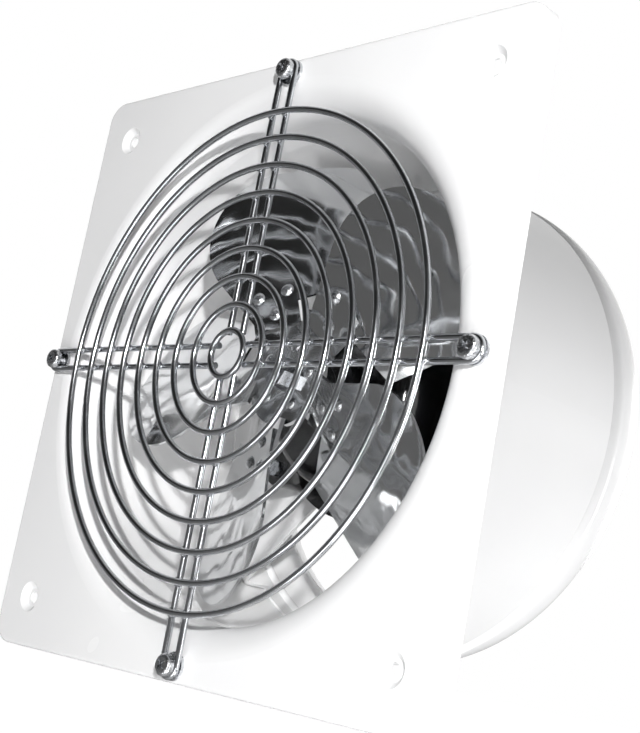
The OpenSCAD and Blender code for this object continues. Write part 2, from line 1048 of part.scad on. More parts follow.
// End rings of the rotor's cage, tight against the core
module rotor_cage() {
    color(polished_metal)
        for (depth = [rotor_depth - cage_h, rotor_depth + rotor_l])
            flat_ring(depth, cage_h, rotor_r - 0.5, rotor_r - 9);
}

wall_plate();
duct_sleeve();
duct_rim();
for (k = [1:ring_count])
    guard_ring(k);
guard_ring_centre();
for (k = [0:3])
    guard_arm(quarter * k);
guard_screws();
guard_spacers();
guard_nuts();
motor_bracket();
motor_front_shell();
motor_rear_shell();
stator_core();
stator_windings();
bearing_outer(front_bearing_depth);  // front_bearing_outer
bearing_outer(rear_bearing_depth);  // rear_bearing_outer
bearing_balls(front_bearing_depth);  // front_bearing_balls
bearing_balls(rear_bearing_depth);  // rear_bearing_balls
wave_washer();
motor_bolts();
motor_nuts();
terminal_box();
terminal_lid();
terminal_lid_screws();
terminal_block();
cable_gland();
gland_locknut();
hub_spider();
hub_boss();
hub_rivets();
for (k = [1:blade_count])
    blade(k);
blade_rivets();
set_screw();
shaft_washer();
shaft_nut();
motor_shaft();
rotor_core();
rotor_cage();
bearing_inner(front_bearing_depth);  // front_bearing_inner
bearing_inner(rear_bearing_depth);  // rear_bearing_inner
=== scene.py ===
"""Looks of the wall exhaust fan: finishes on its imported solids, round wires, rolled rim and welds.

The camera, the light and the floor are set here too. Lengths are in metres, in the frame of the
solids: X is right, Y runs into the wall along the duct, Z is up.
"""
import math

import bmesh
import bpy
from mathutils import Matrix, Vector


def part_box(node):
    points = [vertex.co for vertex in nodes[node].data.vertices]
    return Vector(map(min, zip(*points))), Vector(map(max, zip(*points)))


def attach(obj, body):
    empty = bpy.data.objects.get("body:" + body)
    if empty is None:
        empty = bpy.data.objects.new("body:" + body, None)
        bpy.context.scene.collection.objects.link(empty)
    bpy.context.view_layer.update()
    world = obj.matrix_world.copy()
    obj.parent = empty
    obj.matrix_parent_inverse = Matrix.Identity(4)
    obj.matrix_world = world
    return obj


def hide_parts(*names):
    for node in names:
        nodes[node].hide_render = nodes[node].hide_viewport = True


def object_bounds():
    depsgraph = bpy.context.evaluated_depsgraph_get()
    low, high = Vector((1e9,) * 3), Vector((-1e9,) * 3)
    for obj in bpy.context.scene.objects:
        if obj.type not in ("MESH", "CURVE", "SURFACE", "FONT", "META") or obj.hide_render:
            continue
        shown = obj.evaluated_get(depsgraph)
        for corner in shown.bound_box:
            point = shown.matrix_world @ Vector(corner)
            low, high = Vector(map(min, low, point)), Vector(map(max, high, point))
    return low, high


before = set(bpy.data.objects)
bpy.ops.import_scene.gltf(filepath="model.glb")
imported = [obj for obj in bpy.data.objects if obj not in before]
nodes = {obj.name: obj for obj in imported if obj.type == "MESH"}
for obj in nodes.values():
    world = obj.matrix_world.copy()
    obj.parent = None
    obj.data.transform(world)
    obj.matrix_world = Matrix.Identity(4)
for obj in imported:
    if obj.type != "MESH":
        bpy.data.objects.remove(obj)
cad_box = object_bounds()
MM = 0.001
QUARTER_TURN = math.pi / 2

# Colours, as sRGB hex values
WHITE_POWDER = "#EEEEEE"
WHITE_POWDER_THIN = "#E3E3E4"
CHROME = "#D3D5D8"
CHROME_DULL = "#B4B6BA"
POLISHED_ALUMINIUM = "#DADBDC"
TURNED_STEEL = "#B9BBBE"
GROUND_STEEL = "#C6C8CC"
ZINC = "#BFC2C6"
ZINC_SHADE = "#9B9EA3"
NICKEL = "#DCDDDF"
NICKEL_DULL = "#B2B4B7"
BLACK_ENAMEL = "#0D0D0F"
BLACK_NYLON = "#17171A"
VARNISHED_SHEET = "#4B4A49"
VARNISH_BARE = "#6D6A66"
COPPER_ENAMEL = "#A4522C"
COPPER_ENAMEL_LIGHT = "#C77443"
CAST_ALUMINIUM = "#A9ABAE"
IVORY_NYLON = "#E6DFC8"
BACKDROP = "#FFFFFF"
FLOOR_WHITE = "#F4F4F4"

# Scale of a pattern along its lines: the smaller, the longer they are drawn out
DIE_LINES = 0.02
BUFFING_LINES = 0.0125

# Thickness of one sheet in the stacks of the stator and the rotor
LAMINATION = 0.5 * MM


def linear(code):
    """A hex colour as the linear red, green, blue and alpha that the shaders take."""
    def channel(digits):
        """One colour from its two hex digits, taken out of the sRGB curve."""
        value = int(digits, 16) / 255
        if value <= 0.04045:
            return value / 12.92
        return ((value + 0.055) / 1.055) ** 2.4
    return [channel(code[1:3]), channel(code[3:5]), channel(code[5:7]), 1.0]


def add_node(tree, kind, sockets=None, **settings):
    """Adds a node. Each of its sockets gets a value, or a link where an output is given."""
    node = tree.nodes.new(kind)
    for name, value in settings.items():
        setattr(node, name, value)
    for name, value in (sockets or {}).items():
        if isinstance(value, bpy.types.NodeSocket):
            tree.links.new(value, node.inputs[name])
        else:
            node.inputs[name].default_value = value
    return node


def sum_of(tree, operation, first, second=0.0):
    """Output of a sum on two numbers or outputs; a root, a sine or a size takes only the first."""
    return add_node(tree, "ShaderNodeMath", {0: first, 1: second}, operation=operation).outputs[0]


def new_finish(name, **shader):
    """A material with its own principled shader, whose plain sockets are set here."""
    material = bpy.data.materials.new(name)
    material.use_nodes = True
    tree = material.node_tree
    surface = tree.nodes["Principled BSDF"]
    for socket, value in shader.items():
        surface.inputs[socket.replace("_", " ")].default_value = value
    place = add_node(tree, "ShaderNodeTexCoord").outputs["Object"]
    return material, tree, surface, place


def noise(tree, place, size, detail=2.0, roughness=0.5):
    """Cloudy pattern whose patches are about `size` metres across."""
    sockets = {"Vector": place, "Scale": 1 / size, "Detail": detail, "Roughness": roughness}
    return add_node(tree, "ShaderNodeTexNoise", sockets).outputs["Fac"]


def spread(tree, value, low, high, start=0.3, end=0.7):
    """Turns a pattern, most of which lies between 0.3 and 0.7, into a range such as a roughness."""
    sockets = {"Value": value, "From Min": start, "From Max": end, "To Min": low, "To Max": high}
    return add_node(tree, "ShaderNodeMapRange", sockets).outputs["Result"]


def tint(tree, value, dark, light):
    """Colour between two hex values, by a pattern."""
    mix = add_node(tree, "ShaderNodeMix", {"Factor": value}, data_type="RGBA")
    # The node's colour sockets share their names with its others, so they go by number
    mix.inputs[6].default_value = linear(dark)
    mix.inputs[7].default_value = linear(light)
    return mix.outputs[2]


def relief(tree, surface, height, depth, strength=1.0, below=None):
    """Bump of a pattern, `depth` metres from lowest to highest, on top of any relief `below` it."""
    sockets = {"Height": height, "Distance": depth, "Strength": strength}
    if below is not None:
        sockets["Normal"] = below
    normal = add_node(tree, "ShaderNodeBump", sockets).outputs["Normal"]
    tree.links.new(normal, surface.inputs["Normal"])
    return normal


def around_axis(tree, place):
    """Distance from the fan's axis, and the place along it, as a vector for turned lines."""
    parts = add_node(tree, "ShaderNodeSeparateXYZ", {"Vector": place})
    flat = add_node(tree, "ShaderNodeCombineXYZ", {"X": parts.outputs["X"], "Y": parts.outputs["Z"]})
    radius = add_node(tree, "ShaderNodeVectorMath", {0: flat.outputs[0]}, operation="LENGTH")
    sockets = {"X": radius.outputs["Value"], "Y": parts.outputs["Y"]}
    return add_node(tree, "ShaderNodeCombineXYZ", sockets).outputs["Vector"]


def squeezed(tree, place, scale, turn=(0, 0, 0)):
    """Place turned, then scaled along each axis, so that a pattern is drawn out along one."""
    turned = add_node(tree, "ShaderNodeMapping", {"Vector": place, "Rotation": turn})
    sockets = {"Vector": turned.outputs["Vector"], "Scale": scale}
    return add_node(tree, "ShaderNodeMapping", sockets).outputs["Vector"]


def powder_coat(name, sheet_waves):
    """Polyester powder coat on pressed steel: soft wide gloss over a fine orange peel."""
    material, tree, surface, place = new_finish(name, IOR=1.5, Metallic=0.0)
    # The coat is a little thinner, so greyer and glossier, in drifts about 90 mm wide
    drift = noise(tree, place, 90 * MM)
    tree.links.new(tint(tree, drift, WHITE_POWDER_THIN, WHITE_POWDER), surface.inputs["Base Color"])
    tree.links.new(spread(tree, drift, 0.2, 0.28), surface.inputs["Roughness"])
    # The sheet is wavy over 45 mm, under an orange peel of 1.6 mm cells
    waves = noise(tree, place, 45 * MM, detail=0.0)
    sheet = relief(tree, surface, waves, sheet_waves)
    peel = noise(tree, place, 1.6 * MM, detail=0.0)
    relief(tree, surface, peel, 4e-6, 0.5, sheet)
    return material


def drawn_chrome(name, run):
    """Chrome on drawn wire: mirror bright, with faint lines along the wire, `run` saying which way."""
    material, tree, surface, place = new_finish(name, Metallic=1.0)
    if run == "round":
        across = around_axis(tree, place)
    else:
        across = place
    # Die lines of 0.02 mm are drawn 0.35 mm wide, because finer ones don't show
    scales = {"round": (1, 1, 1), "X": (DIE_LINES, 1, 1), "Z": (1, 1, DIE_LINES)}
    lines = noise(tree, squeezed(tree, across, scales[run]), 0.35 * MM, detail=1.0)
    cloud = noise(tree, place, 14 * MM, detail=3.0)
    tree.links.new(tint(tree, cloud, CHROME_DULL, CHROME), surface.inputs["Base Color"])
    tree.links.new(spread(tree, cloud, 0.12, 0.22), surface.inputs["Roughness"])
    plating = relief(tree, surface, noise(tree, place, 30 * MM, detail=0.0), 60e-6, 0.5)
    relief(tree, surface, lines, 3e-6, 0.4, plating)
    return material


def weld_chrome():
    """Chrome over a resistance weld: the same plate on a lumpy, slightly duller nugget."""
    material, tree, surface, place = new_finish("chrome_over_weld", Metallic=1.0)
    lumps = noise(tree, place, 0.9 * MM, detail=2.0)
    tree.links.new(tint(tree, lumps, CHROME_DULL, CHROME), surface.inputs["Base Color"])
    tree.links.new(spread(tree, lumps, 0.1, 0.28), surface.inputs["Roughness"])
    relief(tree, surface, lumps, 80e-6)
    return material


def polished_sheet(name, turn):
    """Buffed aluminium sheet: a mirror that is slightly wavy, with buffing lines across the blade."""
    material, tree, surface, place = new_finish(name, Metallic=1.0)
    surface.inputs["Base Color"].default_value = linear(POLISHED_ALUMINIUM)
    # Buffing lines of 0.05 mm are drawn 0.5 mm wide and 40 mm long
    drawn_out = squeezed(tree, place, (1, 1, BUFFING_LINES), (0, turn, 0))
    buffed = noise(tree, drawn_out, 0.5 * MM, detail=3.0)
    smear = noise(tree, place, 26 * MM, detail=3.0)
    tree.links.new(spread(tree, smear, 0.05, 0.15), surface.inputs["Roughness"])
    # The soft sheet is dented in waves of 40 mm and in small ones of 12 mm
    ripple = relief(tree, surface, noise(tree, place, 40 * MM, detail=1.0), 3.0 * MM, 1.0)
    dents = relief(tree, surface, noise(tree, place, 12 * MM, detail=0.0), 0.4 * MM, 1.0, ripple)
    relief(tree, surface, buffed, 4e-6, 0.7, dents)
    return material


def turned_steel(name, colour, feed, smoothest):
    """Steel turned on a lathe: fine rings round the axis, about `feed` metres wide."""
    material, tree, surface, place = new_finish(name, Metallic=1.0)
    surface.inputs["Base Color"].default_value = linear(colour)
    rings = noise(tree, around_axis(tree, place), feed, detail=1.0)
    tree.links.new(spread(tree, rings, smoothest, smoothest + 0.12), surface.inputs["Roughness"])
    relief(tree, surface, rings, 6e-6)
    return material


def zinc_plate():
    """Bright zinc on rolled screws and nuts: a soft metal gloss, mottled in patches of 2 mm."""
    material, tree, surface, place = new_finish("bright_zinc_plate", Metallic=1.0)
    mottle = noise(tree, place, 2 * MM, detail=4.0, roughness=0.6)
    tree.links.new(tint(tree, mottle, ZINC_SHADE, ZINC), surface.inputs["Base Color"])
    tree.links.new(spread(tree, mottle, 0.18, 0.36), surface.inputs["Roughness"])
    relief(tree, surface, mottle, 10e-6)
    return material


def rolled_nickel():
    """Nickel on the guard's screws and spacers and on the rivets: satin and bright, dull in patches."""
    material, tree, surface, place = new_finish("nickel_on_cold_headed_screws", Metallic=1.0)
    mottle = noise(tree, place, 3 * MM, detail=3.0, roughness=0.6)
    tree.links.new(tint(tree, mottle, NICKEL_DULL, NICKEL), surface.inputs["Base Color"])
    tree.links.new(spread(tree, mottle, 0.16, 0.32), surface.inputs["Roughness"])
    # Dents of 1 mm left by the heading tool and the barrel
    relief(tree, surface, noise(tree, place, 1.0 * MM, detail=1.0), 0.25 * MM)
    return material


def black_enamel():
    """Stoved black enamel on pressed steel: deep gloss over a soft 3 mm orange peel."""
    material, tree, surface, place = new_finish("stoved_black_enamel", IOR=1.52)
    surface.inputs["Base Color"].default_value = linear(BLACK_ENAMEL)
    surface.inputs["Coat Weight"].default_value = 0.5
    surface.inputs["Coat Roughness"].default_value = 0.06
    peel = noise(tree, place, 3 * MM, detail=1.0)
    tree.links.new(spread(tree, peel, 0.16, 0.24), surface.inputs["Roughness"])
    relief(tree, surface, peel, 25e-6)
    return material


def moulded_nylon(name, colour, grain):
    """Moulded nylon: a dull sheen over spark-eroded grain, about `grain` metres wide."""
    material, tree, surface, place = new_finish(name, IOR=1.53)
    surface.inputs["Base Color"].default_value = linear(colour)
    pits = noise(tree, place, grain, detail=2.0)
    tree.links.new(spread(tree, pits, 0.42, 0.6), surface.inputs["Roughness"])
    relief(tree, surface, pits, 20e-6)
    return material


def stacked_sheet():
    """Varnished stack of electrical sheet: fine dark lines across the axis, one for each sheet."""
    material, tree, surface, place = new_finish("varnished_lamination_stack", Metallic=0.6)
    depth = add_node(tree, "ShaderNodeSeparateXYZ", {"Vector": place}).outputs["Y"]
    edge = sum_of(tree, "MULTIPLY", sum_of(tree, "MODULO", depth, LAMINATION), 1 / LAMINATION)
    tree.links.new(tint(tree, edge, VARNISHED_SHEET, VARNISH_BARE), surface.inputs["Base Color"])
    tree.links.new(spread(tree, noise(tree, place, 4 * MM), 0.35, 0.5), surface.inputs["Roughness"])
    relief(tree, surface, edge, 30e-6)
    return material


def enamelled_copper():
    """Wound enamelled copper: brown varnish gloss, with wires of 0.6 mm showing as ridges."""
    material, tree, surface, place = new_finish("enamelled_copper_wire", Metallic=0.85)
    wires = noise(tree, around_axis(tree, place), 0.6 * MM, detail=0.0)
    tree.links.new(tint(tree, wires, COPPER_ENAMEL, COPPER_ENAMEL_LIGHT), surface.inputs["Base Color"])
    tree.links.new(spread(tree, wires, 0.22, 0.35), surface.inputs["Roughness"])
    relief(tree, surface, wires, 0.2 * MM)
    return material


def cast_aluminium():
    """Die-cast aluminium: pale grey and slightly rough from the mould."""
    material, tree, surface, place = new_finish("die_cast_aluminium", Metallic=1.0)
    surface.inputs["Base Color"].default_value = linear(CAST_ALUMINIUM)
    skin = noise(tree, place, 0.8 * MM, detail=4.0)
    tree.links.new(spread(tree, skin, 0.35, 0.55), surface.inputs["Roughness"])
    relief(tree, surface, skin, 30e-6)
    return material


white_plate = powder_coat("white_powder_coat_pressed_plate", 60e-6)
white_duct = powder_coat("white_powder_coat_rolled_duct", 120e-6)
chrome_ring = drawn_chrome("chrome_on_drawn_ring_wire", "round")
chrome_across = drawn_chrome("chrome_on_drawn_arm_wire_across", "X")
chrome_upright = drawn_chrome("chrome_on_drawn_arm_wire_upright", "Z")
chrome_weld = weld_chrome()
steel_turned = turned_steel("turned_steel", TURNED_STEEL, 0.4 * MM, 0.16)
steel_ground = turned_steel("ground_bearing_steel", GROUND_STEEL, 0.15 * MM, 0.06)
zinc = zinc_plate()
nickel = rolled_nickel()
enamel = black_enamel()
black_nylon = moulded_nylon("moulded_black_nylon", BLACK_NYLON, 0.4 * MM)
ivory_nylon = moulded_nylon("moulded_ivory_nylon", IVORY_NYLON, 0.5 * MM)
lamination = stacked_sheet()
copper = enamelled_copper()
cast = cast_aluminium()

FINISHES = {
    "wall_plate": white_plate,
    "duct_sleeve": white_duct,
    "duct_rim": white_duct,
    "guard_ring_centre": chrome_ring,
    "guard_arm_right": chrome_across,
    "guard_arm_left": chrome_across,
    "guard_arm_top": chrome_upright,
    "guard_arm_bottom": chrome_upright,
    "guard_screws": nickel,
    "guard_spacers": nickel,
    "guard_nuts": zinc,
    "motor_bracket": white_plate,
    "motor_front_shell": enamel,
    "motor_rear_shell": enamel,
    "stator_core": lamination,
    "stator_windings": copper,
    "front_bearing_outer": steel_ground,
    "rear_bearing_outer": steel_ground,
    "front_bearing_balls": steel_ground,
    "rear_bearing_balls": steel_ground,
    "wave_washer": steel_ground,
    "motor_bolts": zinc,
    "motor_nuts": zinc,
    "terminal_box": enamel,
    "terminal_lid": enamel,
    "terminal_lid_screws": zinc,
    "terminal_block": ivory_nylon,
    "cable_gland": black_nylon,
    "gland_locknut": black_nylon,
    "hub_spider": polished_sheet("polished_hub_sheet", 0.0),
    "hub_boss": steel_turned,
    "hub_rivets": nickel,
    "blade_rivets": nickel,
    "set_screw": zinc,
    "shaft_washer": steel_turned,
    "shaft_nut": steel_turned,
    "motor_shaft": steel_ground,
    "rotor_core": lamination,
    "rotor_cage": cast,
    "front_bearing_inner": steel_ground,
    "rear_bearing_inner": steel_ground,
}


def dress_solids():
    """Gives every solid its finish; rings and blades are counted from the frame."""
    for name, solid in nodes.items():
        if name in FINISHES:
            material = FINISHES[name]
        elif name.startswith("guard_ring_"):
            material = chrome_ring
        else:
            low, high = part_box(name)
            middle = (low + high) / 2
            material = polished_sheet("polished_" + name, math.atan2(middle.x, middle.z))
        for slot in solid.material_slots:
            slot.material = material


def middle_radius(name):
    """Radius of a wire ring, to the middle of its wire."""
    low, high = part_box(name)
    return high.x - (high.y - low.y) / 2


def tree_with_inputs(name, sizes):
    """A geometry tree that ends in one output; each size is a named input."""
    tree = bpy.data.node_groups.new(name, "GeometryNodeTree")
    for size, kind in sizes.items():
        tree.interface.new_socket(size, in_out="INPUT", socket_type=kind)
    tree.interface.new_socket("Geometry", in_out="OUTPUT", socket_type="NodeSocketGeometry")
    given = tree.nodes.new("NodeGroupInput").outputs
    return tree, given


def close_tree(tree, shape, material):
    """Ends a tree: its shape, with any instances made real, gets its finish."""
    real = add_node(tree, "GeometryNodeRealizeInstances", {"Geometry": shape})
    sockets = {"Geometry": real.outputs[0], "Material": material}
    coloured = add_node(tree, "GeometryNodeSetMaterial", sockets)
    add_node(tree, "NodeGroupOutput", {"Geometry": coloured.outputs[0]})


def grow(name, tree, values):
    """Runs a geometry tree with its values and keeps the result as a plain mesh."""
    seed = bpy.data.objects.new(name + "_seed", bpy.data.meshes.new(name + "_seed"))
    bpy.context.scene.collection.objects.link(seed)
    modifier = seed.modifiers.new("grow", "NODES")
    modifier.node_group = tree
    for item in tree.interface.items_tree:
        if item.in_out == "INPUT" and item.name in values:
            modifier[item.identifier] = values[item.name]
    bpy.context.view_layer.update()
    evaluated = seed.evaluated_get(bpy.context.evaluated_depsgraph_get())
    mesh = bpy.data.meshes.new_from_object(evaluated)
    bpy.data.objects.remove(seed)
    piece = bpy.data.objects.new(name, mesh)
    bpy.context.scene.collection.objects.link(piece)
    return piece


# How finely the guard's wires are drawn: sides of a wire, and steps along a ring and an arm
WIRE_SIDES = 24
RING_STEPS = 240
BEND_STEPS = 14
RUN_STEPS = 10

ARM_SIDES = ("right", "top", "left", "bottom")


def sweep_wire(tree, given, path, material, caps):
    """Sweeps a round wire along a path, smooth to the eye."""
    half = sum_of(tree, "MULTIPLY", given["Wire"], 0.5)
    sockets = {"Resolution": WIRE_SIDES, "Radius": half}
    section = add_node(tree, "GeometryNodeCurvePrimitiveCircle", sockets)
    sockets = {"Curve": path, "Profile Curve": section.outputs[0], "Fill Caps": caps}
    wire = add_node(tree, "GeometryNodeCurveToMesh", sockets)
    smooth = add_node(tree, "GeometryNodeSetShadeSmooth", {"Geometry": wire.outputs[0]})
    close_tree(tree, smooth.outputs[0], material)


def ring_tree():
    """A closed ring of drawn wire round the fan's axis."""
    tree, given = tree_with_inputs("drawn_wire_ring", {
        "Radius": "NodeSocketFloat",
        "Wire": "NodeSocketFloat",
        "Depth": "NodeSocketFloat",
    })
    sockets = {"Resolution": RING_STEPS, "Radius": given["Radius"]}
    circle = add_node(tree, "GeometryNodeCurvePrimitiveCircle", sockets).outputs[0]
    place = add_node(tree, "ShaderNodeCombineXYZ", {"Y": given["Depth"]}).outputs[0]
    sockets = {"Geometry": circle, "Translation": place, "Rotation": (QUARTER_TURN, 0, 0)}
    path = add_node(tree, "GeometryNodeTransform", sockets)
    sweep_wire(tree, given, path.outputs[0], chrome_ring, False)
    return tree


def hairpin_tree(name, material):
    """A hairpin of wire: out along one side, round the screw and back along the other."""
    tree, given = tree_with_inputs(name, {
        "Start": "NodeSocketFloat",
        "Bend": "NodeSocketFloat",
        "Gap": "NodeSocketFloat",
        "Wire": "NodeSocketFloat",
        "Depth": "NodeSocketFloat",
        "Turn": "NodeSocketFloat",
    })
    # Steps are counted from the middle of the bend, and those past a quarter turn run straight
    side_steps = BEND_STEPS + RUN_STEPS
    index = tree.nodes.new("GeometryNodeInputIndex").outputs[0]
    step = sum_of(tree, "SUBTRACT", index, float(side_steps))
    below = sum_of(tree, "MINIMUM", step, float(BEND_STEPS))
    bend = sum_of(tree, "MAXIMUM", below, float(-BEND_STEPS))
    past = sum_of(tree, "SUBTRACT", sum_of(tree, "ABSOLUTE", step), sum_of(tree, "ABSOLUTE", bend))
    angle = sum_of(tree, "MULTIPLY", bend, QUARTER_TURN / BEND_STEPS)
    half = sum_of(tree, "MULTIPLY", given["Gap"], 0.5)
    run = sum_of(tree, "SUBTRACT", given["Bend"], given["Start"])
    stride = sum_of(tree, "DIVIDE", run, float(RUN_STEPS))
    reach = sum_of(tree, "MULTIPLY", half, sum_of(tree, "COSINE", angle))
    out = sum_of(tree, "ADD", given["Bend"], reach)
    along = sum_of(tree, "SUBTRACT", out, sum_of(tree, "MULTIPLY", past, stride))
    across = sum_of(tree, "MULTIPLY", half, sum_of(tree, "SINE", angle))
    spot = add_node(tree, "ShaderNodeCombineXYZ", {"X": along, "Y": given["Depth"], "Z": across})
    points = add_node(tree, "GeometryNodeMeshLine", {"Count": 2 * side_steps + 1}, mode="OFFSET")
    sockets = {"Geometry": points.outputs[0], "Position": spot.outputs[0]}
    bent = add_node(tree, "GeometryNodeSetPosition", sockets)
    path = add_node(tree, "GeometryNodeMeshToCurve", {"Mesh": bent.outputs[0]})
    turn = add_node(tree, "ShaderNodeCombineXYZ", {"Y": given["Turn"]})
    sockets = {"Geometry": path.outputs[0], "Rotation": turn.outputs[0]}
    turned = add_node(tree, "GeometryNodeTransform", sockets)
    sweep_wire(tree, given, turned.outputs[0], material, True)
    return tree


def make_wires():
    """Rings and arms of the guard, drawn round where the solids have flats."""
    rings = ring_tree()
    for name in [name for name in nodes if name.startswith("guard_ring_")]:
        low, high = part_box(name)
        values = {
            "Radius": middle_radius(name),
            "Wire": high.y - low.y,
            "Depth": (low.y + high.y) / 2,
        }
        ring = grow("wire_" + name, rings, values)
        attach(ring, "housing")
        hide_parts(name)
    across = hairpin_tree("hairpin_across", chrome_across)
    upright = hairpin_tree("hairpin_upright", chrome_upright)
    low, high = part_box("guard_arm_right")
    wire = high.y - low.y
    gap = high.z - low.z - wire
    for count, side in enumerate(ARM_SIDES):
        name = "guard_arm_" + side
        values = {
            "Start": low.x,
            "Bend": high.x - (high.z - low.z) / 2,
            "Gap": gap,
            "Wire": wire,
            "Depth": (low.y + high.y) / 2,
            "Turn": -count * QUARTER_TURN,
        }
        arm = grow("wire_" + name, (across, upright)[count % 2], values)
        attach(arm, "housing")
        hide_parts(name)


# The duct's rim: its sheet, then the crease, the bead and the inner radius of the rolled lip
SHEET = 1.2 * MM
CREASE_DIP = 2.4 * MM
CREASE_START = -1.5 * MM
CREASE_FLOOR = 1.4 * MM
RIM_SWELL = 2.3 * MM
RIM_CREST = 7.5 * MM
LIP_IN = 112 * MM

# How far the lip rolls, in degrees, and how finely the rim is drawn
LIP_TURN = 160
SHARP_EDGE = 40
CURVE_STEPS = 16
LIP_STEPS = 32
ROUND_STEPS = 288


def sheet_outline(path, wall):
    """Closed section of a sheet, from the radius and depth of its outer side and its wall."""
    inner = []
    for count, (radius, depth) in enumerate(path):
        before = Vector(path[max(count - 1, 0)])
        after = Vector(path[min(count + 1, len(path) - 1)])
        along = (after - before).normalized()
        inner.append((radius - along.y * wall, depth + along.x * wall))
    return path + inner[::-1]


def revolve(name, outline, material):
    """Turns a closed section round the fan's axis, with the faces' outward side out."""
    spots = []
    for count in range(ROUND_STEPS):
        angle = 2 * math.pi * count / ROUND_STEPS
        right, up = math.cos(angle), math.sin(angle)
        spots += [(radius * right, depth, radius * up) for radius, depth in outline]
    size = len(outline)
    faces = []
    for count in range(ROUND_STEPS):
        here = count * size
        there = (count + 1) % ROUND_STEPS * size
        for corner in range(size):
            after = (corner + 1) % size
            faces.append((here + corner, here + after, there + after, there + corner))
    mesh = bpy.data.meshes.new(name)
    mesh.from_pydata(spots, [], faces)
    shell = bmesh.new()
    shell.from_mesh(mesh)
    if shell.calc_volume(signed=True) < 0:
        bmesh.ops.reverse_faces(shell, faces=shell.faces)
    shell.to_mesh(mesh)
    shell.free()
    mesh.shade_smooth()
    mesh.set_sharp_from_angle(angle=math.radians(SHARP_EDGE))
    mesh.materials.append(material)
    piece = bpy.data.objects.new(name, mesh)
    bpy.context.scene.collection.objects.link(piece)
    return piece


def eased(start, end):
    """Places of radius and depth from start to end, level at both ends."""
    places = []
    for step in range(CURVE_STEPS + 1):
        share = step / CURVE_STEPS
        rise = (1 - math.cos(math.pi * share)) / 2
        radius = start[0] + (end[0] - start[0]) * rise
        depth = start[1] + (end[1] - start[1]) * share
        places.append((radius, depth))
    return places


def make_rim():
    """The duct's rear rim: a crease behind the sleeve, a swelled bead and the lip rolled inwards."""
    low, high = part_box("duct_rim")
    sleeve_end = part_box("duct_sleeve")[1].y
    outer = high.x
    crest = sleeve_end + RIM_CREST
    crease = (outer - CREASE_DIP, sleeve_end + CREASE_FLOOR)
    path = [(outer, low.y)]
    path += eased((outer, sleeve_end + CREASE_START), crease)
    path += eased(crease, (outer + RIM_SWELL, crest))[1:]
    half = (outer + RIM_SWELL - LIP_IN) / 2
    for step in range(1, LIP_STEPS + 1):
        angle = math.radians(LIP_TURN) * step / LIP_STEPS
        radius = LIP_IN + half + half * math.cos(angle)
        depth = crest + (high.y - crest) * math.sin(angle)
        path.append((radius, depth))
    rim = revolve("rolled_duct_rim", sheet_outline(path, SHEET), white_duct)
    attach(rim, "housing")
    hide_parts("duct_rim")


# A nugget's radius as a share of the wire, and its least and most stretch along X, Y and Z
NUGGET_SHARE = 0.62
NUGGET_LEAST = (0.85, 0.30, 0.85)
NUGGET_MOST = (1.25, 0.42, 1.25)
NUGGET_FACETING = 3
WELD_SEED = 7


